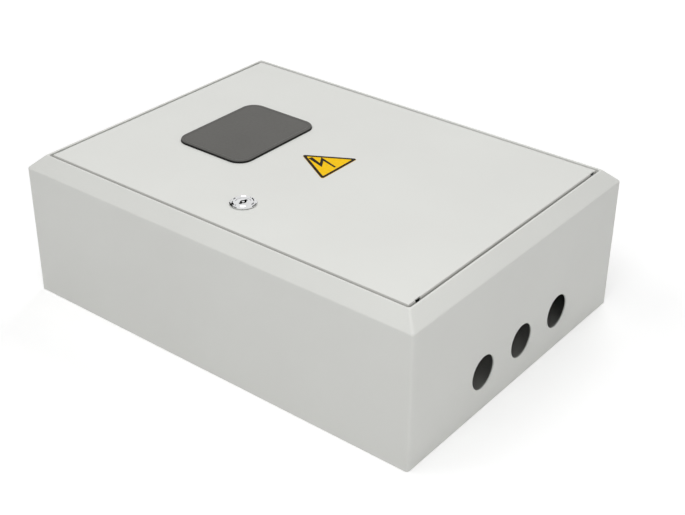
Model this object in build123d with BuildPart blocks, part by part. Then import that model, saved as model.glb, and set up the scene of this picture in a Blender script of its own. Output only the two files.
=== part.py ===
import os
from math import atan2, hypot, tan
from build123d import *

os.makedirs("parts", exist_ok=True)

# Surface-mounted meter cabinet, lying on its back with the door up.
# X runs from the in-use top to the cable entries, Y from the lock to the hinges, Z out of the door.

# Body: a folded shell with a bevelled rim round the door recess, and a back panel welded in flush
length = 460.0
width = 340.0
depth = 150.0
body_sheet = 1.2
body_corner_radius = 3.0
back_edge_radius = 0.4
bevel_run = 13.5
bevel_rise = 12.5
knee_radius = 2.2
crest_width = 2.1
crest_radius = 0.9
crest_corner_radius = 2.0
recess_corner_radius = 2.4
channel_depth = 16.0
lip_corner_radius = 5.0

# Cable entries in the in-use bottom wall, and wall fixing holes in the back
entry_diameter = 34.0
entry_pitch = 63.0
entry_count = 3
entry_shift = 3.5
entry_height = 41.0
fixing_diameter = 8.0
fixing_span_x = 370.0
fixing_span_y = 250.0

# Door pan, its gasket and the play round it
door_sheet = 1.2
door_gap = 2.0
door_fold = 12.0
door_edge_radius = 1.8
door_corner_radius = 2.2
gasket_width = 10.0
gasket_thickness = 6.5
gasket_corner_radius = 9.0
gasket_edge_radius = 2.0
gasket_clearance = 0.3

# Pivot pins at the hinge side of the door's two short edges
pivot_in = 8.0
pivot_down = 4.8
swing_clearance = 0.6
notch_width = 7.0
notch_depth = 1.5
lock_side_notch_in = 13.0
pin_diameter = 4.0
pin_fit = 0.05
pin_head_diameter = 6.0
pin_head_length = 2.6
pin_stand_out = 0.5
pin_end_chamfer = 0.4
strap_sheet = 1.5
strap_leg_length = 14.0
strap_reach = 9.4
strap_height = 8.4
strap_set_back = 10.5
strap_bend_relief = 0.8
clip_diameter = 6.2
clip_thickness = 0.8
clip_groove_diameter = 3.2
clip_mouth = 2.6

# Viewing window: opening, moulded pane standing through it, seal and clamping frame
window_length = 89.2
window_width = 115.6
window_corner_radius = 15.4
window_from_top = 113.8
window_shift = 2.4
pane_thickness = 3.0
pane_overlap = 12.0
pane_corner_radius = 6.0
pane_stand_out = 2.0
pane_fit = 0.4
pane_edge_radius = 0.7
seal_thickness = 1.5
seal_set_back = 0.5
seal_width = 10.0
frame_sheet = 1.5
frame_inside = 3.0
frame_margin = 12.0
frame_corner_radius = 8.0
frame_stud_rows = 3
frame_stud_diameter = 4.0
frame_stud_length = 12.0
frame_stud_fit = 0.1
frame_nut_size = 7.0
frame_nut_height = 3.2

# Triangular sign on the door
sign_side = 54.4
sign_corner_radius = 2.0
sign_thickness = 0.3
sign_shift = 6.2

# Cam lock with a double-bit recess
lock_from_edge = 43.4
lock_shift = -2.9
bezel_diameter = 25.2
bezel_height = 2.8
bezel_rim = 0.6
bezel_face_diameter = 21.0
bezel_lip = 1.3
bezel_flare = 1.2
bezel_dish = 0.7
barrel_diameter = 20.0
barrel_flats = 18.0
barrel_fit = 0.1
lock_seal_thickness = 0.6
lock_seal_margin = 0.9
lock_nut_size = 26.0
lock_nut_height = 5.0
rotor_head_diameter = 14.4
rotor_head_height = 3.5
rotor_core_diameter = 12.4
rotor_fit = 0.05
rotor_sink = 0.3
bit_length = 10.4
bit_width = 3.0
bit_eye_diameter = 6.0
bit_pin_diameter = 2.6
bit_depth = 2.6
bit_turn = 90.0
cam_sheet = 2.0
cam_width = 16.0
cam_bite = 11.0
cam_clearance = 0.3
cam_square = 8.0
cam_square_fit = 0.05
cam_washer_diameter = 13.0
cam_washer_thickness = 1.2
cam_screw_size = 8.0
cam_screw_height = 3.5

# Mounting plate on weld studs
plate_length = 340.0
plate_width = 220.0
plate_sheet = 1.5
plate_corner_radius = 6.0
plate_fold = 8.0
plate_standoff = 12.0
plate_stud_margin = 15.0
plate_stud_diameter = 6.0
plate_stud_spare = 3.0
spacer_diameter = 10.0
spacer_fit = 0.1
plate_nut_size = 10.0
plate_nut_height = 5.0
plate_nut_flange = 13.0
plate_nut_flange_height = 1.2
meter_slot_length = 30.0
meter_slot_width = 5.5
meter_slot_span_x = 95.0
meter_slot_span_y = 75.0
meter_from_end = 75.0

# Top-hat rail for the breakers
rail_width = 35.0
rail_height = 7.5
rail_sheet = 1.0
rail_channel = 25.0
rail_length = 200.0
rail_shift = 30.0
rail_slot_length = 15.0
rail_slot_width = 6.2
rail_slot_pitch = 25.0
rail_slot_count = 8
rail_screw_slots = 5
screw_diameter = 5.0
screw_head_diameter = 9.5
screw_head_height = 3.2
screw_slot_width = 1.2
screw_slot_depth = 1.4
screw_below_plate = 4.0

# Earth and neutral terminal bars on feet
bar_width = 8.0
bar_height = 9.0
bar_end = 12.0
bar_from_end = 52.0
bar_shift_y = 52.0
terminal_count = 8
terminal_pitch = 8.0
wire_hole_diameter = 4.6
clamp_screw_diameter = 4.0
clamp_screw_stand = 1.6
clamp_slot_width = 0.8
clamp_slot_depth = 0.9
foot_length = 11.0
foot_width = 14.0
foot_height = 12.0
foot_edge = 1.0
bar_screw_diameter = 3.5
bar_screw_head = 6.4
bar_screw_head_height = 2.4
bar_screw_bite = 9.0

# Earth studs on the body and on the door
earth_stud_diameter = 8.0
earth_stud_length = 24.0
earth_stud_from_end = 34.0
earth_stud_shift = -100.0
earth_nut_size = 13.0
earth_nut_height = 6.5
door_stud_diameter = 6.0
door_stud_length = 16.0
door_stud_from_end = 62.0
door_stud_from_side = 48.0
door_nut_size = 10.0
door_nut_height = 5.0
washer_margin = 4.0
washer_thickness = 1.6

# Levels and insets that follow from the sizes above
knee_height = depth - bevel_rise
bend_angle = atan2(bevel_run, bevel_rise)
inner_knee_height = knee_height - body_sheet * tan(bend_angle / 2)
recess_inset = bevel_run + crest_width
recess_back = recess_inset - body_sheet
inner_crest_height = inner_knee_height + (recess_back - body_sheet) * bevel_rise / bevel_run
channel_floor = depth - channel_depth
door_under = depth - door_sheet
door_bottom = depth - door_fold
lip_top = door_under - gasket_thickness - gasket_clearance
swing_radius = hypot(pivot_in, door_fold - pivot_down)
lip_inset = recess_inset + door_gap + pivot_in + swing_radius + swing_clearance
throat_inset = lip_inset + body_sheet
lip_middle = lip_inset + body_sheet / 2
door_length = length - 2 * (recess_inset + door_gap)
door_width = width - 2 * (recess_inset + door_gap)
pivot_y = door_width / 2 - pivot_in
pivot_z = depth - pivot_down
window_x = window_from_top - door_length / 2
lock_x = lock_shift
lock_y = lock_from_edge - door_width / 2
plate_under = body_sheet + plate_standoff
plate_top = plate_under + plate_sheet
meter_x = meter_from_end - plate_length / 2
bar_x = plate_length / 2 - bar_from_end


def rounded_frame(inset, radius, mode=Mode.ADD):
    """Outline of the cabinet, moved in by an inset on all four sides."""
    return RectangleRounded(length - 2 * inset, width - 2 * inset, radius, mode=mode)


def hexagon(size):
    """Outline of a hexagon of the given width across its flats."""
    return RegularPolygon(size / 2, 6, major_radius=False)


def end_plane(end, distance):
    """Plane across the pivot axis, facing outwards at one end of the cabinet."""
    return Plane(origin=(end * distance, pivot_y, pivot_z), x_dir=(0, 1, 0), z_dir=(end, 0, 0))


def window_plane(level):
    """Level plane centred on the window."""
    return Plane(origin=(window_x, window_shift, level))


def pane_outline(inset):
    """Outline of the window opening, moved in by an inset on all four sides."""
    return RectangleRounded(window_length - 2 * inset, window_width - 2 * inset, window_corner_radius - inset)


def lock_plane(level):
    """Level plane centred on the lock."""
    return Plane(origin=(lock_x, lock_y, level))


def earth_plane(level):
    """Level plane centred on the body's earthing stud."""
    return Plane(origin=(length / 2 - earth_stud_from_end, earth_stud_shift, level))


def save(piece, name):
    """Label a finished piece and write it under the same name."""
    piece.label = name
    export_step(piece, f"parts/{name}.step")


# Body shell: walls and bevel outside, then hollowed a sheet thickness in
with BuildPart() as body_shell:
    with BuildSketch(Plane.XY):
        rounded_frame(0, body_corner_radius)
    extrude(amount=knee_height)
    with BuildSketch(Plane.XY.offset(knee_height)):
        rounded_frame(0, body_corner_radius)
    with BuildSketch(Plane.XY.offset(depth)):
        rounded_frame(bevel_run, crest_corner_radius)
    loft(ruled=True)
    fillet(body_shell.faces().sort_by(Axis.Z)[0].edges(), radius=back_edge_radius)
    fillet(body_shell.edges().group_by(Axis.Z)[-3], radius=knee_radius)
    with BuildSketch(Plane.XY):
        rounded_frame(body_sheet, body_corner_radius - body_sheet)
    extrude(amount=inner_knee_height, mode=Mode.SUBTRACT)
    with BuildSketch(Plane.XY.offset(inner_knee_height)):
        rounded_frame(body_sheet, body_corner_radius - body_sheet)
    with BuildSketch(Plane.XY.offset(inner_crest_height)):
        rounded_frame(recess_back, recess_corner_radius - body_sheet)
    loft(ruled=True, mode=Mode.SUBTRACT)
    # Rim folded in from the crest: recess wall, rain channel and upturned lip
    with BuildSketch(Plane.XY.offset(channel_floor - body_sheet)):
        rounded_frame(recess_back, recess_corner_radius)
    extrude(amount=channel_depth + body_sheet)
    with BuildSketch(Plane.XY.offset(channel_floor)):
        rounded_frame(recess_inset, recess_corner_radius)
        rounded_frame(lip_inset, lip_corner_radius, mode=Mode.SUBTRACT)
    extrude(amount=channel_depth, mode=Mode.SUBTRACT)
    with BuildSketch(Plane.XY.offset(lip_top)):
        rounded_frame(recess_inset, recess_corner_radius)
    extrude(amount=depth - lip_top, mode=Mode.SUBTRACT)
    with BuildSketch(Plane.XY.offset(channel_floor - body_sheet)):
        rounded_frame(throat_inset, lip_corner_radius - body_sheet)
    extrude(amount=lip_top - channel_floor + body_sheet, mode=Mode.SUBTRACT)
    fillet(body_shell.faces().sort_by(Axis.Z)[-1].edges(), radius=crest_radius)
    # Cable entries
    with BuildSketch(Plane(origin=(length / 2, entry_shift, entry_height), x_dir=(0, 1, 0), z_dir=(1, 0, 0))):
        with GridLocations(entry_pitch, 1, entry_count, 1):
            Circle(entry_diameter / 2)
    extrude(amount=-2 * body_sheet, mode=Mode.SUBTRACT)
    # Pivot holes in both end walls of the recess
    for end in (-1, 1):
        with BuildSketch(end_plane(end, length / 2 - recess_inset)):
            Circle(pin_diameter / 2 + pin_fit)
        extrude(amount=1.5 * body_sheet, mode=Mode.SUBTRACT)
save(body_shell.part, "body_shell")

# Back panel, welded in between the walls, with the wall fixing holes
with BuildPart() as back_panel:
    with BuildSketch(Plane.XY):
        rounded_frame(body_sheet, body_corner_radius - body_sheet)
        with GridLocations(fixing_span_x, fixing_span_y, 2, 2):
            Circle(fixing_diameter / 2, mode=Mode.SUBTRACT)
    extrude(amount=body_sheet)
save(back_panel.part, "back_panel")

# Door pan: one sheet with folded edges, open towards the inside
with BuildPart() as door_panel:
    with BuildSketch(Plane.XY.offset(door_bottom)):
        RectangleRounded(door_length, door_width, door_corner_radius)
    extrude(amount=door_fold)
    fillet(door_panel.faces().sort_by(Axis.Z)[-1].edges(), radius=door_edge_radius)
    offset(amount=-door_sheet, openings=door_panel.faces().sort_by(Axis.Z)[0])
    with BuildSketch(Plane.XY.offset(depth)):
        with Locations((window_x, window_shift)):
            RectangleRounded(window_length, window_width, window_corner_radius)
    extrude(amount=-2 * door_sheet, mode=Mode.SUBTRACT)
    with BuildSketch(Plane(origin=(lock_x, lock_y, depth))):
        Circle(barrel_diameter / 2 + barrel_fit)
        Rectangle(2 * barrel_diameter, barrel_flats + 2 * barrel_fit, mode=Mode.INTERSECT)
    extrude(amount=-2 * door_sheet, mode=Mode.SUBTRACT)
    # Notches across the end folds, for the pivot pins and at the lock side
    with BuildSketch(Plane.XY.offset(door_bottom)):
        for notch_y in (pivot_y, lock_side_notch_in - door_width / 2):
            with Locations((-door_length / 2, notch_y), (door_length / 2, notch_y)):
                Rectangle(2 * notch_depth, notch_width)
    extrude(amount=door_fold, mode=Mode.SUBTRACT)
save(door_panel.part, "door_panel")

# Foam gasket on the door, standing over the lip of the rain channel
with BuildPart() as door_gasket:
    with BuildSketch(Plane.XY.offset(door_under - gasket_thickness)):
        rounded_frame(lip_middle - gasket_width / 2, gasket_corner_radius)
        rounded_frame(lip_middle + gasket_width / 2, gasket_corner_radius - gasket_width / 2, mode=Mode.SUBTRACT)
    extrude(amount=gasket_thickness)
    fillet(door_gasket.faces().sort_by(Axis.Z)[0].edges(), radius=gasket_edge_radius)
save(door_gasket.part, "door_gasket")

# Pivot pins, each carried by a strap on the hinge-side fold and kept in by a clip
for end, end_name in ((-1, "top"), (1, "bottom")):
    strap_face = door_length / 2 - strap_set_back
    strap_side = door_width / 2 - door_sheet
    with BuildPart() as hinge_strap:
        with BuildSketch(Plane.XY.offset(door_under - strap_bend_relief)):
            with BuildLine():
                Polyline(
                    (end * strap_face, strap_side),
                    (end * (strap_face - strap_leg_length), strap_side),
                    (end * (strap_face - strap_leg_length), strap_side - strap_sheet),
                    (end * (strap_face - strap_sheet), strap_side - strap_sheet),
                    (end * (strap_face - strap_sheet), strap_side - strap_reach),
                    (end * strap_face, strap_side - strap_reach),
                    close=True,
                )
            make_face()
        extrude(amount=-strap_height)
        with BuildSketch(end_plane(end, strap_face)):
            Circle(pin_diameter / 2 + pin_fit)
        extrude(amount=-strap_sheet, mode=Mode.SUBTRACT)
    save(hinge_strap.part, f"hinge_strap_{end_name}")

    pin_tip = length / 2 - recess_back + pin_stand_out
    pin_back = strap_face - strap_sheet
    with BuildPart() as hinge_pin:
        with BuildSketch(end_plane(end, pin_back)):
            Circle(pin_diameter / 2)
        extrude(amount=pin_tip - pin_back)
        tip_edge = hinge_pin.faces().sort_by(Axis.X)[-1 if end > 0 else 0].edges()
        chamfer(tip_edge, length=pin_end_chamfer)
        with BuildSketch(end_plane(end, pin_back)):
            Circle(pin_head_diameter / 2)
        extrude(amount=-pin_head_length)
        with BuildSketch(end_plane(end, strap_face)):
            Circle(pin_diameter / 2)
            Circle(clip_groove_diameter / 2, mode=Mode.SUBTRACT)
        extrude(amount=clip_thickness, mode=Mode.SUBTRACT)
    save(hinge_pin.part, f"hinge_pin_{end_name}")

    with BuildPart() as hinge_clip:
        with BuildSketch(end_plane(end, strap_face)):
            Circle(clip_diameter / 2)
            Circle(clip_groove_diameter / 2, mode=Mode.SUBTRACT)
            with Locations((-clip_diameter / 2, 0)):
                Rectangle(clip_diameter, clip_mouth, mode=Mode.SUBTRACT)
        extrude(amount=clip_thickness)
    save(hinge_clip.part, f"hinge_clip_{end_name}")

# Window: seal, pane and clamping frame, stacked inwards from the door sheet
seal_under = door_under - seal_thickness
pane_under = seal_under - pane_thickness
pane_face = depth + pane_stand_out
frame_under = pane_under - frame_sheet
with BuildPart() as window_seal:
    with BuildSketch(window_plane(seal_under)):
        RectangleRounded(
            window_length + 2 * (seal_set_back + seal_width),
            window_width + 2 * (seal_set_back + seal_width),
            pane_corner_radius,
        )
        RectangleRounded(
            window_length + 2 * seal_set_back,
            window_width + 2 * seal_set_back,
            window_corner_radius + seal_set_back,
            mode=Mode.SUBTRACT,
        )
    extrude(amount=seal_thickness)
save(window_seal.part, "window_seal")

with BuildPart() as window_pane:
    with BuildSketch(window_plane(pane_under)):
        RectangleRounded(window_length + 2 * pane_overlap, window_width + 2 * pane_overlap, pane_corner_radius)
    extrude(amount=pane_thickness)
    with BuildSketch(window_plane(seal_under)):
        pane_outline(pane_fit)
    extrude(amount=pane_face - seal_under)
    fillet(window_pane.faces().sort_by(Axis.Z)[-1].edges(), radius=pane_edge_radius)
    # Hollow behind, so that the moulding has one wall thickness
    with BuildSketch(window_plane(pane_under)):
        pane_outline(pane_fit + pane_thickness)
    extrude(amount=pane_face - pane_thickness - pane_under, mode=Mode.SUBTRACT)
save(window_pane.part, "window_pane")

frame_length = window_length + 2 * (pane_overlap + frame_margin)
frame_width = window_width + 2 * (pane_overlap + frame_margin)
frame_stud_span_x = frame_length - frame_margin
frame_stud_span_y = (frame_width - frame_margin) / (frame_stud_rows - 1)
with BuildPart() as window_frame:
    with BuildSketch(window_plane(frame_under)):
        RectangleRounded(frame_length, frame_width, frame_corner_radius)
        RectangleRounded(
            window_length + 2 * frame_inside,
            window_width + 2 * frame_inside,
            window_corner_radius + frame_inside,
            mode=Mode.SUBTRACT,
        )
        with GridLocations(frame_stud_span_x, frame_stud_span_y, 2, frame_stud_rows):
            Circle(frame_stud_diameter / 2 + frame_stud_fit, mode=Mode.SUBTRACT)
    extrude(amount=frame_sheet)
save(window_frame.part, "window_frame")

with BuildPart() as window_studs:
    with BuildSketch(window_plane(door_under)):
        with GridLocations(frame_stud_span_x, frame_stud_span_y, 2, frame_stud_rows):
            Circle(frame_stud_diameter / 2)
    extrude(amount=-frame_stud_length)
save(window_studs.part, "window_studs")

with BuildPart() as window_nuts:
    with BuildSketch(window_plane(frame_under)):
        with GridLocations(frame_stud_span_x, frame_stud_span_y, 2, frame_stud_rows):
            hexagon(frame_nut_size)
            Circle(frame_stud_diameter / 2, mode=Mode.SUBTRACT)
    extrude(amount=-frame_nut_height)
save(window_nuts.part, "window_nuts")

# Sign: a plain triangle on the door, its point towards the in-use top
with BuildPart() as door_sign:
    with BuildSketch(Plane(origin=(sign_shift, 0, depth))) as sign_outline:
        RegularPolygon(sign_side / 3 ** 0.5, 3, rotation=180)
        fillet(sign_outline.vertices(), radius=sign_corner_radius)
    extrude(amount=sign_thickness)
save(door_sign.part, "door_sign")

# Cam lock: housing with a flared bezel, seal and nut
bezel_base = depth + lock_seal_thickness
bezel_top = depth + bezel_height
rotor_face = bezel_top - bezel_dish - rotor_sink
rotor_shoulder = rotor_face - rotor_head_height
cam_top = channel_floor - body_sheet - cam_clearance
cam_bottom = cam_top - cam_sheet
housing_bottom = cam_top + rotor_fit
with BuildPart() as lock_housing:
    with BuildSketch(Plane(origin=(lock_x, lock_y, 0), x_dir=(1, 0, 0), z_dir=(0, -1, 0))):
        with BuildLine():
            Polyline(
                (bezel_face_diameter / 2 - bezel_lip, bezel_top - bezel_dish),
                (rotor_head_diameter / 2 + rotor_fit, bezel_top - bezel_dish),
                (rotor_head_diameter / 2 + rotor_fit, rotor_shoulder - rotor_fit),
                (rotor_core_diameter / 2 + rotor_fit, rotor_shoulder - rotor_fit),
                (rotor_core_diameter / 2 + rotor_fit, housing_bottom),
                (barrel_diameter / 2, housing_bottom),
                (barrel_diameter / 2, bezel_base),
                (bezel_diameter / 2, bezel_base),
                (bezel_diameter / 2, bezel_base + bezel_rim),
                (bezel_face_diameter / 2 + bezel_flare, bezel_base + 2 * bezel_rim),
                (bezel_face_diameter / 2, bezel_top - bezel_lip / 2),
                (bezel_face_diameter / 2 - bezel_lip / 2, bezel_top),
                close=True,
            )
        make_face()
    revolve(axis=Axis((lock_x, lock_y, 0), (0, 0, 1)))
    for side in (-1, 1):
        with BuildSketch(lock_plane(housing_bottom)):
            with Locations((0, side * barrel_diameter / 2)):
                Rectangle(barrel_diameter, barrel_diameter - barrel_flats)
        extrude(amount=bezel_base - housing_bottom, mode=Mode.SUBTRACT)
save(lock_housing.part, "lock_housing")

with BuildPart() as lock_seal:
    with BuildSketch(lock_plane(depth)):
        Circle(bezel_diameter / 2 - lock_seal_margin)
        Circle(barrel_diameter / 2 + barrel_fit, mode=Mode.SUBTRACT)
    extrude(amount=lock_seal_thickness)
save(lock_seal.part, "lock_seal")

with BuildPart() as lock_nut:
    with BuildSketch(lock_plane(door_under)):
        hexagon(lock_nut_size)
        Circle(barrel_diameter / 2, mode=Mode.SUBTRACT)
    extrude(amount=-lock_nut_height)
save(lock_nut.part, "lock_nut")

# What turns in the lock: rotor with a double-bit recess round a pin, cam, washer and screw
with BuildPart() as lock_rotor:
    with BuildSketch(lock_plane(rotor_face)):
        Circle(rotor_head_diameter / 2)
    extrude(amount=-rotor_head_height)
    with BuildSketch(lock_plane(rotor_shoulder)):
        Circle(rotor_core_diameter / 2)
    extrude(amount=cam_top - rotor_shoulder)
    with BuildSketch(lock_plane(cam_top)):
        Rectangle(cam_square, cam_square)
    extrude(amount=-cam_sheet)
    with BuildSketch(lock_plane(rotor_face)):
        SlotOverall(bit_length, bit_width, rotation=bit_turn)
        Circle(bit_eye_diameter / 2)
        Circle(bit_pin_diameter / 2, mode=Mode.SUBTRACT)
    extrude(amount=-bit_depth, mode=Mode.SUBTRACT)
save(lock_rotor.part, "lock_rotor")

cam_reach = lock_from_edge + door_gap + recess_inset - throat_inset + cam_bite
with BuildPart() as lock_cam:
    with BuildSketch(lock_plane(cam_bottom)):
        with Locations((cam_reach / 2 - cam_width / 4, 0)):
            SlotOverall(cam_reach + cam_width / 2, cam_width)
        Rectangle(cam_square + 2 * cam_square_fit, cam_square + 2 * cam_square_fit, mode=Mode.SUBTRACT)
    extrude(amount=cam_sheet)
save(lock_cam.part, "lock_cam")

with BuildPart() as cam_screw:
    with BuildSketch(lock_plane(cam_bottom)):
        Circle(cam_washer_diameter / 2)
    extrude(amount=-cam_washer_thickness)
    with BuildSketch(lock_plane(cam_bottom - cam_washer_thickness)):
        hexagon(cam_screw_size)
    extrude(amount=-cam_screw_height)
save(cam_screw.part, "cam_screw")

# Earthing stud on the door, with its nut and washer
door_stud_x = door_length / 2 - door_stud_from_end
door_stud_y = door_width / 2 - door_stud_from_side
with BuildPart() as door_earth_stud:
    with BuildSketch(Plane(origin=(door_stud_x, door_stud_y, door_under))):
        Circle(door_stud_diameter / 2)
    extrude(amount=-door_stud_length)
save(door_earth_stud.part, "door_earth_stud")

with BuildPart() as door_earth_nut:
    with BuildSketch(Plane(origin=(door_stud_x, door_stud_y, door_under))):
        Circle(door_stud_diameter / 2 + washer_margin)
        Circle(door_stud_diameter / 2, mode=Mode.SUBTRACT)
    extrude(amount=-washer_thickness)
    with BuildSketch(Plane(origin=(door_stud_x, door_stud_y, door_under - washer_thickness))):
        hexagon(door_nut_size)
        Circle(door_stud_diameter / 2, mode=Mode.SUBTRACT)
    extrude(amount=-door_nut_height)
save(door_earth_nut.part, "door_earth_nut")

# Earthing stud on the back, with its nut and washer
with BuildPart() as body_earth_stud:
    with BuildSketch(earth_plane(body_sheet)):
        Circle(earth_stud_diameter / 2)
    extrude(amount=earth_stud_length)
save(body_earth_stud.part, "body_earth_stud")

with BuildPart() as body_earth_nut:
    with BuildSketch(earth_plane(body_sheet)):
        Circle(earth_stud_diameter / 2 + washer_margin)
        Circle(earth_stud_diameter / 2, mode=Mode.SUBTRACT)
    extrude(amount=washer_thickness)
    with BuildSketch(earth_plane(body_sheet + washer_thickness)):
        hexagon(earth_nut_size)
        Circle(earth_stud_diameter / 2, mode=Mode.SUBTRACT)
    extrude(amount=earth_nut_height)
save(body_earth_nut.part, "body_earth_nut")

# Mounting plate on four weld studs, each with a spacer under it and a flange nut on top
plate_stud_span_x = plate_length - 2 * plate_stud_margin
plate_stud_span_y = plate_width - 2 * plate_stud_margin
with BuildPart() as plate_studs:
    with BuildSketch(Plane.XY.offset(body_sheet)):
        with GridLocations(plate_stud_span_x, plate_stud_span_y, 2, 2):
            Circle(plate_stud_diameter / 2)
    extrude(amount=plate_standoff + plate_sheet + plate_nut_flange_height + plate_nut_height + plate_stud_spare)
save(plate_studs.part, "plate_studs")

with BuildPart() as plate_spacers:
    with BuildSketch(Plane.XY.offset(body_sheet)):
        with GridLocations(plate_stud_span_x, plate_stud_span_y, 2, 2):
            Circle(spacer_diameter / 2)
            Circle(plate_stud_diameter / 2 + spacer_fit, mode=Mode.SUBTRACT)
    extrude(amount=plate_standoff)
save(plate_spacers.part, "plate_spacers")

with BuildPart() as mounting_plate:
    with BuildSketch(Plane.XY.offset(plate_under)):
        RectangleRounded(plate_length, plate_width, plate_corner_radius)
        with GridLocations(plate_stud_span_x, plate_stud_span_y, 2, 2):
            Circle(plate_stud_diameter / 2 + spacer_fit, mode=Mode.SUBTRACT)
        with Locations((rail_shift, 0)):
            with GridLocations(1, rail_screw_slots * rail_slot_pitch, 1, 2):
                Circle(screw_diameter / 2, mode=Mode.SUBTRACT)
        # Slots for the meter's own screws, behind the window
        with Locations((meter_x - meter_slot_span_x / 2, 0)):
            SlotOverall(meter_slot_length, meter_slot_width, mode=Mode.SUBTRACT)
        with Locations((meter_x + meter_slot_span_x / 2, 0)):
            with GridLocations(1, meter_slot_span_y, 1, 2):
                SlotOverall(meter_slot_length, meter_slot_width, rotation=90, mode=Mode.SUBTRACT)
    extrude(amount=plate_sheet)
    # Long edges folded towards the back
    with BuildSketch(Plane.XY.offset(plate_under)):
        with GridLocations(1, plate_width - plate_sheet, 1, 2):
            Rectangle(plate_length - 2 * plate_corner_radius, plate_sheet)
    extrude(amount=-(plate_fold - plate_sheet))
save(mounting_plate.part, "mounting_plate")

with BuildPart() as plate_nuts:
    with BuildSketch(Plane.XY.offset(plate_top)):
        with GridLocations(plate_stud_span_x, plate_stud_span_y, 2, 2):
            Circle(plate_nut_flange / 2)
            Circle(plate_stud_diameter / 2, mode=Mode.SUBTRACT)
    extrude(amount=plate_nut_flange_height)
    with BuildSketch(Plane.XY.offset(plate_top + plate_nut_flange_height)):
        with GridLocations(plate_stud_span_x, plate_stud_span_y, 2, 2):
            hexagon(plate_nut_size)
            Circle(plate_stud_diameter / 2, mode=Mode.SUBTRACT)
    extrude(amount=plate_nut_height)
save(plate_nuts.part, "plate_nuts")

# Top-hat rail, drawn as half its section and mirrored
with BuildPart() as din_rail:
    with BuildSketch(Plane(origin=(rail_shift, rail_length / 2, plate_top), x_dir=(1, 0, 0), z_dir=(0, -1, 0))):
        with BuildLine():
            Polyline(
                (0, 0),
                (rail_channel / 2 + rail_sheet, 0),
                (rail_channel / 2 + rail_sheet, rail_height - rail_sheet),
                (rail_width / 2, rail_height - rail_sheet),
                (rail_width / 2, rail_height),
                (rail_channel / 2, rail_height),
                (rail_channel / 2, rail_sheet),
                (0, rail_sheet),
                close=True,
            )
        make_face()
        mirror(about=Plane.YZ)
    extrude(amount=rail_length)
    with BuildSketch(Plane(origin=(rail_shift, 0, plate_top))):
        with GridLocations(1, rail_slot_pitch, 1, rail_slot_count):
            SlotOverall(rail_slot_length, rail_slot_width, rotation=90)
    extrude(amount=rail_sheet, mode=Mode.SUBTRACT)
save(din_rail.part, "din_rail")

with BuildPart() as rail_screws:
    rail_seat = plate_top + rail_sheet
    with BuildSketch(Plane(origin=(rail_shift, 0, rail_seat))):
        with GridLocations(1, rail_screw_slots * rail_slot_pitch, 1, 2):
            Circle(screw_head_diameter / 2)
    extrude(amount=screw_head_height)
    with BuildSketch(Plane(origin=(rail_shift, 0, rail_seat))):
        with GridLocations(1, rail_screw_slots * rail_slot_pitch, 1, 2):
            Circle(screw_diameter / 2)
    extrude(amount=-(rail_sheet + plate_sheet + screw_below_plate))
    with BuildSketch(Plane(origin=(rail_shift, 0, rail_seat + screw_head_height))):
        with GridLocations(1, rail_screw_slots * rail_slot_pitch, 1, 2):
            Rectangle(screw_head_diameter, screw_slot_width)
    extrude(amount=-screw_slot_depth, mode=Mode.SUBTRACT)
save(rail_screws.part, "rail_screws")

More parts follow.
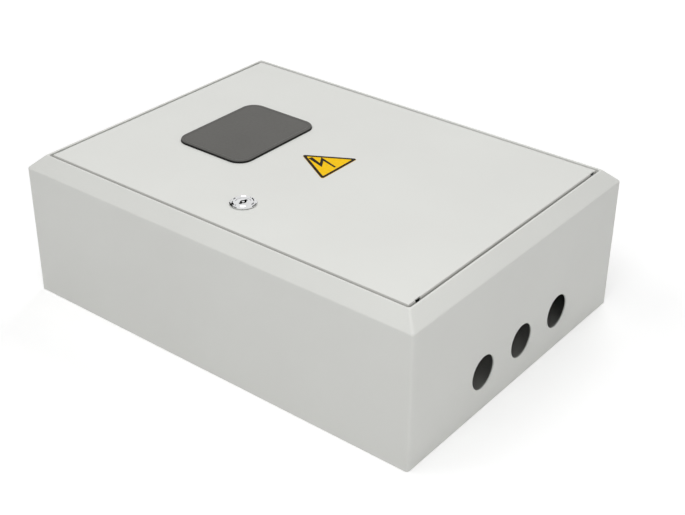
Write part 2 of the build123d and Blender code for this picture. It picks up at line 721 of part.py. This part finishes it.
# Earth and neutral bars: each on two feet, with wire holes along X and a clamp screw over each
bar_length = (terminal_count - 1) * terminal_pitch + 2 * bar_end
bar_under = plate_top + foot_height
bar_top = bar_under + bar_height
for bar_name, bar_y in (("earth", -bar_shift_y), ("neutral", bar_shift_y)):
    with BuildPart() as terminal_bar:
        with BuildSketch(Plane(origin=(bar_x, bar_y, bar_under))):
            Rectangle(bar_width, bar_length)
        extrude(amount=bar_height)
        bar_side = Plane(
            origin=(bar_x + bar_width / 2, bar_y, bar_under + bar_height / 2),
            x_dir=(0, 1, 0),
            z_dir=(1, 0, 0),
        )
        with BuildSketch(bar_side):
            with GridLocations(terminal_pitch, 1, terminal_count, 1):
                Circle(wire_hole_diameter / 2)
        extrude(amount=-bar_width, mode=Mode.SUBTRACT)
        with BuildSketch(Plane(origin=(bar_x, bar_y, bar_top))):
            with GridLocations(1, terminal_pitch, 1, terminal_count):
                Circle(clamp_screw_diameter / 2)
        extrude(amount=-bar_height / 2, mode=Mode.SUBTRACT)
        with BuildSketch(Plane(origin=(bar_x, bar_y, bar_top))):
            with GridLocations(1, bar_length - foot_length, 1, 2):
                Circle(bar_screw_diameter / 2)
        extrude(amount=-bar_height, mode=Mode.SUBTRACT)
    save(terminal_bar.part, f"{bar_name}_bar")

    with BuildPart() as bar_screws:
        with BuildSketch(Plane(origin=(bar_x, bar_y, bar_top))):
            with GridLocations(1, bar_length - foot_length, 1, 2):
                Circle(bar_screw_head / 2)
        extrude(amount=bar_screw_head_height)
        with BuildSketch(Plane(origin=(bar_x, bar_y, bar_top))):
            with GridLocations(1, bar_length - foot_length, 1, 2):
                Circle(bar_screw_diameter / 2)
        extrude(amount=-(bar_height + bar_screw_bite))
        with BuildSketch(Plane(origin=(bar_x, bar_y, bar_top + bar_screw_head_height))):
            with GridLocations(1, bar_length - foot_length, 1, 2):
                Rectangle(bar_screw_head, clamp_slot_width)
        extrude(amount=-clamp_slot_depth, mode=Mode.SUBTRACT)
    save(bar_screws.part, f"{bar_name}_bar_screws")

    with BuildPart() as clamp_screws:
        with BuildSketch(Plane(origin=(bar_x, bar_y, bar_top + clamp_screw_stand))):
            with GridLocations(1, terminal_pitch, 1, terminal_count):
                Circle(clamp_screw_diameter / 2)
        extrude(amount=-(clamp_screw_stand + (bar_height - wire_hole_diameter) / 2))
        with BuildSketch(Plane(origin=(bar_x, bar_y, bar_top + clamp_screw_stand))):
            with GridLocations(1, terminal_pitch, 1, terminal_count):
                Rectangle(clamp_screw_diameter, clamp_slot_width)
        extrude(amount=-clamp_slot_depth, mode=Mode.SUBTRACT)
    save(clamp_screws.part, f"{bar_name}_clamp_screws")

    with BuildPart() as bar_feet:
        with BuildSketch(Plane(origin=(bar_x, bar_y, plate_top))):
            with GridLocations(1, bar_length - foot_length, 1, 2):
                Rectangle(foot_width, foot_length)
        extrude(amount=foot_height)
        chamfer(bar_feet.edges().filter_by(Axis.Z), length=foot_edge)
        with BuildSketch(Plane(origin=(bar_x, bar_y, bar_under))):
            with GridLocations(1, bar_length - foot_length, 1, 2):
                Circle(bar_screw_diameter / 2)
        extrude(amount=-bar_screw_bite, mode=Mode.SUBTRACT)
    save(bar_feet.part, f"{bar_name}_bar_feet")
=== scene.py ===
import math

import bpy
from mathutils import Matrix, Vector


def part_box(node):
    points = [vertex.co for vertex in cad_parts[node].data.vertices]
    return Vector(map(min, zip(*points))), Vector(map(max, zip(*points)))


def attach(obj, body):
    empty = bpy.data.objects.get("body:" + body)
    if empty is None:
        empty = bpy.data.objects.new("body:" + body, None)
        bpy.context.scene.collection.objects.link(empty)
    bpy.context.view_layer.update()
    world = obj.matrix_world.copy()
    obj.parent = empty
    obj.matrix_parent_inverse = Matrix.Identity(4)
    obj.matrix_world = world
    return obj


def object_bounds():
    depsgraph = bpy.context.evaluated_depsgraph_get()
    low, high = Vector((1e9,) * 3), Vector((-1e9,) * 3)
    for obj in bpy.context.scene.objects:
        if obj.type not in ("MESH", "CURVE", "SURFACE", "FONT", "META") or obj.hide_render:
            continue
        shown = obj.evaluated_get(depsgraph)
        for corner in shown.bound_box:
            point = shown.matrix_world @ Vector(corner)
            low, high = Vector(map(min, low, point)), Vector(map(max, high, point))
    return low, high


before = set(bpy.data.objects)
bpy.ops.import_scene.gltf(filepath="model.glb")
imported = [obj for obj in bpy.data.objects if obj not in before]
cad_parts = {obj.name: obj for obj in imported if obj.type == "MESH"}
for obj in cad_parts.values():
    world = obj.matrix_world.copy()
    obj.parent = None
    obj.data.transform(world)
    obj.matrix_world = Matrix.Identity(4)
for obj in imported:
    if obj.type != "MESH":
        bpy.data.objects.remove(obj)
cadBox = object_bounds()
print("scene: frame loaded with", len(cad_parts), "nodes")


# node helpers

def wire(tree, node, sockets):
    # links a socket, or sets a plain value
    for key, value in sockets.items():
        if isinstance(value, bpy.types.NodeSocket):
            tree.links.new(value, node.inputs[key])
        else:
            node.inputs[key].default_value = value


def addNode(tree, kind, sockets=None, **settings):
    node = tree.nodes.new(kind)
    for key, value in settings.items():
        setattr(node, key, value)
    wire(tree, node, sockets or {})
    return node


def newMaterial(name):
    mat = bpy.data.materials.new(name)
    mat.use_nodes = True
    tree = mat.node_tree
    return mat, tree, tree.nodes["Principled BSDF"]


def emptyMaterial(name):
    mat, tree, shader = newMaterial(name)
    tree.nodes.clear()
    return mat, tree


def objectCoords(tree):
    return addNode(tree, "ShaderNodeTexCoord").outputs["Object"]


def noise(tree, scale, detail, where=None):
    node = addNode(tree, "ShaderNodeTexNoise", {
        "Vector": where or objectCoords(tree), "Scale": scale, "Detail": detail})
    return node.outputs["Fac"]


def mapRange(tree, value, low, high, fromLow=0.3, fromHigh=0.7):
    # 0.3 to 0.7 is the middle of what a noise gives
    node = addNode(tree, "ShaderNodeMapRange", {
        "Value": value, "From Min": fromLow, "From Max": fromHigh, "To Min": low, "To Max": high})
    return node.outputs["Result"]


def mathNode(tree, operation, first, second):
    return addNode(tree, "ShaderNodeMath", {0: first, 1: second}, operation=operation).outputs[0]


def vectorMath(tree, operation, first, second=(0.0, 0.0, 0.0)):
    return addNode(tree, "ShaderNodeVectorMath", {0: first, 1: second}, operation=operation)


def mixColor(tree, factor, colorA, colorB):
    node = addNode(tree, "ShaderNodeMix", data_type="RGBA")
    wire(tree, node, {0: factor})
    for key, color in ((6, colorA), (7, colorB)):    # its two colour sockets
        wire(tree, node, {key: (*color, 1.0) if isinstance(color, tuple) else color})
    return node.outputs[2]


def mottle(tree, pattern, colorA, colorB):
    return mixColor(tree, mapRange(tree, pattern, 0.0, 1.0), colorA, colorB)


def addBump(tree, height, distance, before=None):
    sockets = {"Height": height, "Distance": distance, "Strength": 1.0}
    if before is not None:
        sockets["Normal"] = before
    return addNode(tree, "ShaderNodeBump", sockets).outputs["Normal"]


# powder coat on the body and the door

coat = {
    "color": (0.735, 0.741, 0.710),
    "shade": (0.715, 0.719, 0.689),
    "blotchScale": 9.0,
    "roughLow": 0.36,
    "roughHigh": 0.46,
    "ior": 1.45,
    "peelScale": 620.0,      # orange peel, about 1.6 mm from crest to crest
    "peelDepth": 0.000028,
    "grainScale": 2600.0,
    "grainDepth": 0.000006,
    "waveScale": 5.0,        # slow waves of the sheet itself
    "waveDepth": 0.0011,
    "gapPaintedShade": (0.48, 0.477, 0.455),                 # stands in for the deep shade of the photograph's gap
    "gapIn": 0.0009,         # on the door's rounded edges, this far in and down
    "gapInFade": 0.0003,
    "gapDown": 0.0020,
    "gapDownFade": 0.0005,
}


def paintedGapShadeMask(tree, corner):
    # 1 on the door's rounded edges, where the gap's shade is painted, and 0 elsewhere, from its corner
    # with the highest x, y and z
    mirrored = vectorMath(tree, "ABSOLUTE", objectCoords(tree))
    place = addNode(tree, "ShaderNodeSeparateXYZ", {"Vector": mirrored.outputs[0]})
    near = []
    for axis, end in zip("XY", corner):
        start = end - coat["gapIn"]
        near.append(mapRange(tree, place.outputs[axis], 0.0, 1.0, start - coat["gapInFade"], start))
    foot = corner[2] - coat["gapDown"]
    high = mapRange(tree, place.outputs["Z"], 0.0, 1.0, foot - coat["gapDownFade"], foot)
    return mathNode(tree, "MULTIPLY", mathNode(tree, "MAXIMUM", *near), high)


def powderCoat(name="powderCoat", doorCorner=None):
    mat, tree, shader = newMaterial(name)
    peel = noise(tree, coat["peelScale"], 1.0)
    grain = noise(tree, coat["grainScale"], 1.0)
    wave = noise(tree, coat["waveScale"], 0.0)
    color = mottle(tree, noise(tree, coat["blotchScale"], 3.0), coat["shade"], coat["color"])
    if doorCorner is not None:
        # painted shade of the gap, darker on the door's rounded edges
        color = mixColor(tree, paintedGapShadeMask(tree, doorCorner), color, coat["gapPaintedShade"])
    normal = addBump(tree, wave, coat["waveDepth"])
    normal = addBump(tree, peel, coat["peelDepth"], before=normal)
    normal = addBump(tree, grain, coat["grainDepth"], before=normal)
    rough = mapRange(tree, peel, coat["roughLow"], coat["roughHigh"])
    wire(tree, shader, {"Base Color": color, "Roughness": rough, "Normal": normal, "IOR": coat["ior"]})
    return mat


# zinc plate on the fasteners, with the ridges of a thread on studs

zinc = {
    "blue": (0.60, 0.64, 0.69),
    "straw": (0.70, 0.68, 0.60),
    "tintScale": 55.0,
    "grainScale": 900.0,
    "grainDepth": 0.00001,
    "roughLow": 0.22,
    "roughHigh": 0.38,
    "coarsePitch": 0.001,
    "finePitch": 0.0007,
    "ridgeDepth": 0.45,      # of the pitch
}


def zincPlate(name, pitch=None):
    mat, tree, shader = newMaterial(name)
    color = mottle(tree, noise(tree, zinc["tintScale"], 3.0), zinc["blue"], zinc["straw"])
    grain = noise(tree, zinc["grainScale"], 3.0)
    rough = mapRange(tree, grain, zinc["roughLow"], zinc["roughHigh"])
    normal = addBump(tree, grain, zinc["grainDepth"])
    if pitch:
        scale = math.pi / (10.0 * pitch)             # a band is pi / 10 wide at scale 1
        ridges = addNode(tree, "ShaderNodeTexWave", {"Vector": objectCoords(tree), "Scale": scale},
                         wave_type="BANDS", bands_direction="Z", wave_profile="TRI")
        normal = addBump(tree, ridges.outputs["Fac"], pitch * zinc["ridgeDepth"], before=normal)
    wire(tree, shader, {"Base Color": color, "Metallic": 1.0, "Roughness": rough, "Normal": normal})
    return mat


# galvanised mounting plate

galvanised = {
    "dark": (0.50, 0.53, 0.55),
    "light": (0.66, 0.69, 0.71),
    "flakeScale": 110.0,
    "flakeFrom": 0.1,        # of the grey that a flake draws
    "flakeTo": 0.9,
    "roughLow": 0.30,
    "roughHigh": 0.48,
    "metallic": 0.95,
    "grainScale": 700.0,
    "grainDepth": 0.000012,
}


def galvanisedSheet():
    mat, tree, shader = newMaterial("galvanisedSheet")
    flakes = addNode(tree, "ShaderNodeTexVoronoi", {
        "Vector": objectCoords(tree), "Scale": galvanised["flakeScale"], "Randomness": 1.0})
    grey = addNode(tree, "ShaderNodeRGBToBW", {"Color": flakes.outputs["Color"]}).outputs["Val"]
    flake = mapRange(tree, grey, 0.0, 1.0, galvanised["flakeFrom"], galvanised["flakeTo"])
    color = mixColor(tree, flake, galvanised["dark"], galvanised["light"])
    rough = mapRange(tree, flake, galvanised["roughLow"], galvanised["roughHigh"], 0.0, 1.0)
    normal = addBump(tree, noise(tree, galvanised["grainScale"], 2.0), galvanised["grainDepth"])
    wire(tree, shader, {
        "Base Color": color, "Metallic": galvanised["metallic"], "Roughness": rough, "Normal": normal})
    return mat


# brass terminal bars, drawn along their length

brass = {
    "clean": (0.72, 0.50, 0.20),
    "tarnished": (0.60, 0.40, 0.17),
    "tarnishScale": 70.0,
    "lineScale": 1500.0,
    "lineStretch": (1.0, 0.04, 1.0),
    "lineDepth": 0.000015,
    "roughLow": 0.24,
    "roughHigh": 0.42,
}


def drawnBrass():
    mat, tree, shader = newMaterial("drawnBrass")
    stretched = addNode(tree, "ShaderNodeMapping", {
        "Vector": objectCoords(tree), "Scale": brass["lineStretch"]})
    lines = noise(tree, brass["lineScale"], 3.0, where=stretched.outputs["Vector"])
    color = mottle(tree, noise(tree, brass["tarnishScale"], 4.0), brass["clean"], brass["tarnished"])
    wire(tree, shader, {
        "Base Color": color, "Metallic": 1.0,
        "Roughness": mapRange(tree, lines, brass["roughLow"], brass["roughHigh"]),
        "Normal": addBump(tree, lines, brass["lineDepth"])})
    return mat


# chrome on the lock

chrome = {
    "color": (0.77, 0.775, 0.78),
    "hazy": (0.70, 0.705, 0.71),
    "smearScale": 160.0,
    "roughLow": 0.05,
    "roughHigh": 0.12,
    "ripple": 0.000008,
    "recess": (0.035, 0.035, 0.036),                 # painted shade, near black, in the key recess
    "recessRough": 0.45,
    "recessBelow": 0.0002,                           # under the rotor's face
    "recessFade": 0.0005,
}


def brightChrome(name, face=None):
    mat, tree, shader = newMaterial(name)
    smear = noise(tree, chrome["smearScale"], 4.0)
    color = mottle(tree, smear, chrome["hazy"], chrome["color"])
    rough = mapRange(tree, smear, chrome["roughLow"], chrome["roughHigh"])
    if face is not None:
        # painted shade: near black and rougher below the rotor's face, in the key recess
        height = addNode(tree, "ShaderNodeSeparateXYZ", {"Vector": objectCoords(tree)}).outputs["Z"]
        start = face - chrome["recessBelow"]
        recessShadeMask = mapRange(tree, height, 0.0, 1.0, start, start - chrome["recessFade"])
        color = mixColor(tree, recessShadeMask, color, chrome["recess"])
        rough = mapRange(tree, recessShadeMask, rough, chrome["recessRough"], 0.0, 1.0)
    normal = addBump(tree, smear, chrome["ripple"])
    wire(tree, shader, {"Base Color": color, "Metallic": 1.0, "Roughness": rough, "Normal": normal})
    return mat


# foam gasket and rubber seals

rubber = {
    "foam": {"color": (0.018, 0.018, 0.019), "poreScale": 1100.0, "poreDepth": 0.00012},
    "seal": {"color": (0.010, 0.010, 0.010), "poreScale": 1600.0, "poreDepth": 0.00002},
    "lighterBy": 1.7,
    "lighterAdd": 0.004,
    "roughLow": 0.72,
    "roughHigh": 0.92,
    "shine": 0.3,
}


def softRubber(name, kind):
    mat, tree, shader = newMaterial(name)
    look = rubber[kind]
    pores = noise(tree, look["poreScale"], 3.0)
    lighter = tuple(c * rubber["lighterBy"] + rubber["lighterAdd"] for c in look["color"])
    wire(tree, shader, {
        "Base Color": mottle(tree, pores, look["color"], lighter),
        "Roughness": mapRange(tree, pores, rubber["roughLow"], rubber["roughHigh"]),
        "Normal": addBump(tree, pores, look["poreDepth"]),
        "Specular IOR Level": rubber["shine"]})
    return mat


# moulded feet of the terminal bars

plastic = {
    "green": (0.035, 0.16, 0.04),
    "blue": (0.02, 0.07, 0.32),
    "darker": 0.86,
    "blotchScale": 60.0,
    "skinScale": 1400.0,
    "skinDepth": 0.00001,
    "roughLow": 0.38,
    "roughHigh": 0.52,
}


def mouldedPlastic(name, color):
    mat, tree, shader = newMaterial(name)
    skin = noise(tree, plastic["skinScale"], 2.0)
    darker = tuple(c * plastic["darker"] for c in color)
    wire(tree, shader, {
        "Base Color": mottle(tree, noise(tree, plastic["blotchScale"], 2.0), darker, color),
        "Roughness": mapRange(tree, skin, plastic["roughLow"], plastic["roughHigh"]),
        "Normal": addBump(tree, skin, plastic["skinDepth"])})
    return mat


# smoked window pane

pane = {
    "color": (0.102, 0.100, 0.092),
    "deeper": 0.93,
    "driftScale": 14.0,
    "driftDepth": 0.0002,
    "edgeColor": (0.006, 0.006, 0.006),              # looking into its edge, smoked plastic is near black
    "edgeFrom": 0.82,                                # of the normal that points out of the door
    "edgeTo": 0.45,
    "seeThrough": 0.07,
    "ior": 1.40,
    "shine": 0.25,
    "hazeScale": 420.0,
    "roughLow": 0.34,
    "roughHigh": 0.46,
    "rimWidth": 0.0030,                              # a moulded step runs round the pane this far in
    "rimSlope": 0.0007,
    "rimHeight": 0.00022,
    # painted shade: the pane is darker on its rim, outside the step
    "rimPaintedShade": 0.84,
    "flatWithin": 0.00002,
}


def paneRim(tree):
    # 1 on the rim and 0 inside it, from the flat top of the raised pane
    verts = [v.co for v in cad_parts["window_pane"].data.vertices]
    top = max(co.z for co in verts)
    flat = [co for co in verts if co.z > top - pane["flatWithin"]]
    low = [min(co[k] for co in flat) for k in (0, 1)]
    high = [max(co[k] for co in flat) for k in (0, 1)]
    corner = min(abs(co.y - low[1]) for co in flat if abs(co.x - high[0]) < pane["flatWithin"])
    middle = ((low[0] + high[0]) / 2, (low[1] + high[1]) / 2, 0.0)
    core = ((high[0] - low[0]) / 2 - corner, (high[1] - low[1]) / 2 - corner, 0.0)
    place = vectorMath(tree, "SUBTRACT", objectCoords(tree), middle)
    level = vectorMath(tree, "MULTIPLY", place.outputs[0], (1.0, 1.0, 0.0))
    mirrored = vectorMath(tree, "ABSOLUTE", level.outputs[0])
    past = vectorMath(tree, "SUBTRACT", mirrored.outputs[0], core)
    beyond = vectorMath(tree, "MAXIMUM", past.outputs[0])
    reach = vectorMath(tree, "LENGTH", beyond.outputs[0]).outputs["Value"]
    start = corner - pane["rimWidth"]
    return mapRange(tree, reach, 0.0, 1.0, start - pane["rimSlope"], start)


def smokedPane():
    mat, tree, shader = newMaterial("smokedPane")
    drift = noise(tree, pane["driftScale"], 2.0)
    haze = noise(tree, pane["hazeScale"], 4.0)
    rim = paneRim(tree)
    normal = addNode(tree, "ShaderNodeTexCoord").outputs["Normal"]
    outward = addNode(tree, "ShaderNodeSeparateXYZ", {"Vector": normal}).outputs["Z"]
    edge = mapRange(tree, outward, 0.0, 1.0, pane["edgeFrom"], pane["edgeTo"])
    deeper = tuple(c * pane["deeper"] for c in pane["color"])
    rimShadedColor = tuple(c * pane["rimPaintedShade"] for c in pane["color"])
    color = mottle(tree, drift, deeper, pane["color"])
    # painted shade on the pane's rim, outside the moulded step
    color = mixColor(tree, rim, color, rimShadedColor)
    color = mixColor(tree, edge, color, pane["edgeColor"])
    waves = addBump(tree, drift, pane["driftDepth"])
    wire(tree, shader, {
        "Base Color": color,
        "Roughness": mapRange(tree, haze, pane["roughLow"], pane["roughHigh"]),
        "Normal": addBump(tree, rim, pane["rimHeight"], before=waves),
        "Transmission Weight": pane["seeThrough"],
        "IOR": pane["ior"],
        "Specular IOR Level": pane["shine"]})
    return mat


# printed film of the door's sign

film = {
    "yellow": ((0.90, 0.53, 0.005), (0.96, 0.60, 0.006)),      # each ink drifts between two colours
    "black": ((0.009, 0.006, 0.003), (0.014, 0.010, 0.005)),
    "blotchScale": 260.0,
    "skinScale": 1800.0,
    "skinDepth": 0.000008,
    "roughLow": 0.42,
    "roughHigh": 0.56,
    "shine": 0.07,
}


def printedFilm(name, ink):
    mat, tree, shader = newMaterial(name)
    skin = noise(tree, film["skinScale"], 2.0)
    wire(tree, shader, {
        "Base Color": mottle(tree, noise(tree, film["blotchScale"], 4.0), *film[ink]),
        "Roughness": mapRange(tree, skin, film["roughLow"], film["roughHigh"]),
        "Normal": addBump(tree, skin, film["skinDepth"]),
        "Specular IOR Level": film["shine"]})
    return mat


def dressNodes():
    coatMat = powderCoat()
    zincMat = zincPlate("zincPlate")
    threadMat = zincPlate("threadedZinc", zinc["coarsePitch"])
    brassMat = drawnBrass()
    sealMat = softRubber("sealRubber", "seal")
    looks = {
        "body_shell": coatMat,
        "back_panel": coatMat,
        "door_panel": powderCoat("doorCoat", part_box("door_panel")[1]),
        "hinge_strap_top": coatMat,
        "hinge_strap_bottom": coatMat,
        "mounting_plate": galvanisedSheet(),
        "plate_studs": threadMat,
        "body_earth_stud": threadMat,
        "door_earth_stud": threadMat,
        "window_studs": zincPlate("fineThreadedZinc", zinc["finePitch"]),
        "earth_bar": brassMat,
        "neutral_bar": brassMat,
        "earth_bar_feet": mouldedPlastic("greenPlastic", plastic["green"]),
        "neutral_bar_feet": mouldedPlastic("bluePlastic", plastic["blue"]),
        "door_gasket": softRubber("foamGasket", "foam"),
        "window_seal": sealMat,
        "lock_seal": sealMat,
        "window_pane": smokedPane(),
        "door_sign": printedFilm("signYellow", "yellow"),
        "lock_housing": brightChrome("brightChrome"),
        "lock_rotor": brightChrome("rotorChrome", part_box("lock_rotor")[1][2]),
    }
    for name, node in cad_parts.items():
        for place in node.material_slots:
            place.material = looks.get(name, zincMat)
    print("scene: finishes on", len(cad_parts), "nodes")


# print on the door's sign: a border and a plain zigzag, as thin raised ink

signPrint = {
    "margin": 0.00005,
    "border": 0.0028,
    "inkHeight": 0.00006,
    "corner": 0.0020,
    "innerCorner": 0.45,     # of the outer one
    "cornerSteps": 8,
    "stroke": 0.0029,
    "startWidth": 1.5,       # of the stroke
    "endWidth": 0.75,
    "sharpest": 0.32,        # keeps a sharp bend from growing wide
    "path": [(-0.0148, 0.0000), (0.0030, -0.0057), (-0.0040, 0.0052), (0.0165, -0.0006)],
}


def meshObject(name, verts, faces, mat):
    mesh = bpy.data.meshes.new(name)
    mesh.from_pydata(verts, [], faces)
    mesh.update()
    obj = bpy.data.objects.new(name, mesh)
    bpy.context.scene.collection.objects.link(obj)
    obj.data.materials.append(mat)
    return obj


def roundedTriangle(inradius, corner):
    # outline with its point towards -X, centred on the triangle's own centre
    points = []
    steps = signPrint["cornerSteps"]
    third = 2 * math.pi / 3
    reach = 2 * (inradius - corner)
    for k in range(3):
        angle = math.pi + k * third
        middle = (reach * math.cos(angle), reach * math.sin(angle))
        for i in range(steps + 1):
            turn = angle - third / 2 + third * i / steps
            points.append((middle[0] + corner * math.cos(turn), middle[1] + corner * math.sin(turn)))
    return points


def signBorder(mat):
    low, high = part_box("door_sign")
    corner = signPrint["corner"]
    outlineThird = (high[0] - low[0] + corner) / 3
    centre = (high[0] - outlineThird, (low[1] + high[1]) / 2)
    inradius = outlineThird - signPrint["margin"]
    outer = roundedTriangle(inradius, corner)
    inner = roundedTriangle(inradius - signPrint["border"], corner * signPrint["innerCorner"])
    count = len(outer)
    verts = []                                       # four rings: outer and inner, below and then above
    for z in (high[2], high[2] + signPrint["inkHeight"]):
        verts += [(centre[0] + x, centre[1] + y, z) for x, y in outer + inner]
    faces = []
    for i in range(count):
        j = (i + 1) % count
        faces.append((2 * count + i, 2 * count + j, 3 * count + j, 3 * count + i))
        faces.append((i, j, 2 * count + j, 2 * count + i))
        faces.append((count + j, count + i, 3 * count + i, 3 * count + j))
        faces.append((j, i, count + i, count + j))
    border = meshObject("sign_border", verts, faces, mat)
    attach(border, "door")


def strokeSides(path, half):
    # the two sides of a stroke along a bent path, wide at its start and narrow at its end
    left, right = [], []
    last = len(path) - 1
    normals = [Vector((a.y - b.y, b.x - a.x)).normalized() for a, b in zip(path, path[1:])]
    for i, point in enumerate(path):
        if i == 0:
            normal, width = normals[0], half * signPrint["startWidth"]
        elif i == last:
            normal, width = normals[-1], half * signPrint["endWidth"]
        else:
            normal = (normals[i - 1] + normals[i]).normalized()
            width = half / max(signPrint["sharpest"], normal.dot(normals[i - 1]))
        left.append(point + normal * width)
        right.append(point - normal * width)
    return left, right


def signFlash(mat):
    low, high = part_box("door_sign")
    left, right = strokeSides([Vector(p) for p in signPrint["path"]], signPrint["stroke"] / 2)
    ring = left + right[::-1]
    count = len(ring)
    middle = (low[1] + high[1]) / 2
    verts = []
    for z in (high[2], high[2] + signPrint["inkHeight"]):
        verts += [(p.x, middle + p.y, z) for p in ring]
    faces = []
    for i in range(len(left) - 1):
        a, b, c, d = i, i + 1, count - 2 - i, count - 1 - i
        faces.append((d + count, c + count, b + count, a + count))
        faces.append((a, b, c, d))
    for i in range(count):
        j = (i + 1) % count
        faces.append((j, i, i + count, j + count))
    flash = meshObject("sign_flash", verts, faces, mat)
    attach(flash, "door")


def buildSign():
    ink = printedFilm("signInk", "black")
    signBorder(ink)
    signFlash(ink)
    print("scene: sign printed")


# floor and light

studio = {
    "floorSize": 14.0,
    "floorGrey": 0.88,
    "floorDrop": 0.0002,                             # under the cabinet's back
    "glowNear": 0.26,                                # keeps the shadow beside the cabinet
    "glowFar": 0.90,
    "glowFrom": (0.45, 2.2),                         # metres from the middle
    "skyLevel": 0.285,
    "aim": (0, 0, 0.1),
    "lamps": {                                       # place, power in watts, width
        "frontLamp": ((0.52, -0.84, 1.28), 7.4, 0.9),
        "leftLamp": ((-1.5, -1.2, 2.4), 18.0, 1.6),
        "backLamp": ((-0.3, 1.8, 2.2), 22.1, 1.6),
        "sideLamp": ((2.7, -0.2, 0.5), 11.4, 1.6),
        "topLamp": ((0.08, -0.25, 1.35), 1.7, 0.8),
    },
    "shine": "frontLamp",                            # the one lamp that shows in metal
    "cards": {                                       # place, width, height and grey, for reflections alone
        "leftCard": ((-1.10, -0.05, 0.62), 0.95, 0.90, 0.01),
        "highCard": ((-0.75, -0.50, 1.10), 0.45, 0.60, 0.25),
        "backCard": ((0.28, 0.95, 0.95), 0.95, 0.85, 0.16),
    },
}
white = (1.0, 1.0, 1.0, 1.0)


def buildWorld():
    # white to the camera, mirrors and glass, and a dim sky to everything else
    world = bpy.data.worlds.new("studio")
    bpy.context.scene.world = world
    world.use_nodes = True
    tree = world.node_tree
    tree.nodes.clear()
    path = addNode(tree, "ShaderNodeLightPath").outputs
    mirrors = mathNode(tree, "MAXIMUM", path["Is Glossy Ray"], path["Is Transmission Ray"])
    seen = mathNode(tree, "MAXIMUM", path["Is Camera Ray"], mirrors)
    sky = addNode(tree, "ShaderNodeBackground", {"Strength": studio["skyLevel"], "Color": white})
    backdrop = addNode(tree, "ShaderNodeBackground", {"Strength": 1.0, "Color": white})
    mix = addNode(tree, "ShaderNodeMixShader", {0: seen, 1: sky.outputs[0], 2: backdrop.outputs[0]})
    addNode(tree, "ShaderNodeOutputWorld", {"Surface": mix.outputs[0]})


def buildFloor():
    # the floor glows to the camera alone, more so away from the cabinet
    half = studio["floorSize"] / 2
    mat, tree = emptyMaterial("floorWhite")
    grey = studio["floorGrey"]
    plain = addNode(tree, "ShaderNodeBsdfDiffuse", {"Color": (grey, grey, grey, 1.0)})
    away = vectorMath(tree, "LENGTH", objectCoords(tree)).outputs["Value"]
    level = mapRange(tree, away, studio["glowNear"], studio["glowFar"], *studio["glowFrom"])
    glow = addNode(tree, "ShaderNodeEmission", {"Strength": level, "Color": white})
    none = addNode(tree, "ShaderNodeEmission", {"Strength": 0.0})
    toCamera = addNode(tree, "ShaderNodeLightPath").outputs["Is Camera Ray"]
    choose = addNode(tree, "ShaderNodeMixShader", {0: toCamera, 1: none.outputs[0], 2: glow.outputs[0]})
    total = addNode(tree, "ShaderNodeAddShader", {0: plain.outputs[0], 1: choose.outputs[0]})
    addNode(tree, "ShaderNodeOutputMaterial", {"Surface": total.outputs[0]})
    height = cadBox[0][2] - studio["floorDrop"]
    corners = [(-half, -half), (half, -half), (half, half), (-half, half)]
    floor = meshObject("floor", [(x, y, height) for x, y in corners], [(0, 1, 2, 3)], mat)


def turnToMiddle(place):
    return (Vector(studio["aim"]) - Vector(place)).to_track_quat("-Z", "Y").to_euler()


def addLamp(name, place, power, width):
    light = bpy.data.lights.new(name, "AREA")
    light.energy = power
    light.size = width
    lamp = bpy.data.objects.new(name, light)
    lamp.location = place
    lamp.rotation_euler = turnToMiddle(place)
    lamp.visible_glossy = name == studio["shine"]
    bpy.context.scene.collection.objects.link(lamp)


def addCard(name, place, width, height, grey):
    mat, tree = emptyMaterial(name)
    glow = addNode(tree, "ShaderNodeEmission", {"Color": (grey, grey, grey, 1.0)})
    addNode(tree, "ShaderNodeOutputMaterial", {"Surface": glow.outputs[0]})
    w, h = width / 2, height / 2
    card = meshObject(name, [(-w, -h, 0), (w, -h, 0), (w, h, 0), (-w, h, 0)], [(0, 1, 2, 3)], mat)
    card.location = place
    card.rotation_euler = turnToMiddle(place)
    card.visible_camera = False
    card.visible_diffuse = False
    card.visible_shadow = False
    card.visible_transmission = False


def buildLight():
    bpy.context.scene.view_settings.view_transform = "Standard"
    buildWorld()
    buildFloor()
    for name, settings in studio["lamps"].items():
        addLamp(name, *settings)
    for name, settings in studio["cards"].items():
        addCard(name, *settings)
    print("scene: floor and light")


# camera at the photograph's angle

view = {
    "place": (0.69877, -0.85707, 0.70222),
    "right": (0.78368, 0.62112, 0.00756),
    "up": (-0.32275, 0.39676, 0.85931),
    "back": (0.53074, -0.67586, 0.51140),
    "lens": 67.67,
    "sensor": 36.0,
    "nearest": 0.01,
}


def buildCamera():
    data = bpy.data.cameras.new("viewCamera")
    data.lens = view["lens"]
    data.sensor_width = view["sensor"]
    data.clip_start = view["nearest"]
    camera = bpy.data.objects.new("viewCamera", data)
    turn = Matrix((view["right"], view["up"], view["back"])).transposed().to_4x4()
    camera.matrix_world = Matrix.Translation(view["place"]) @ turn
    bpy.context.scene.collection.objects.link(camera)
    bpy.context.scene.camera = camera
    print("scene: camera")


dressNodes()
buildSign()
buildLight()
buildCamera()
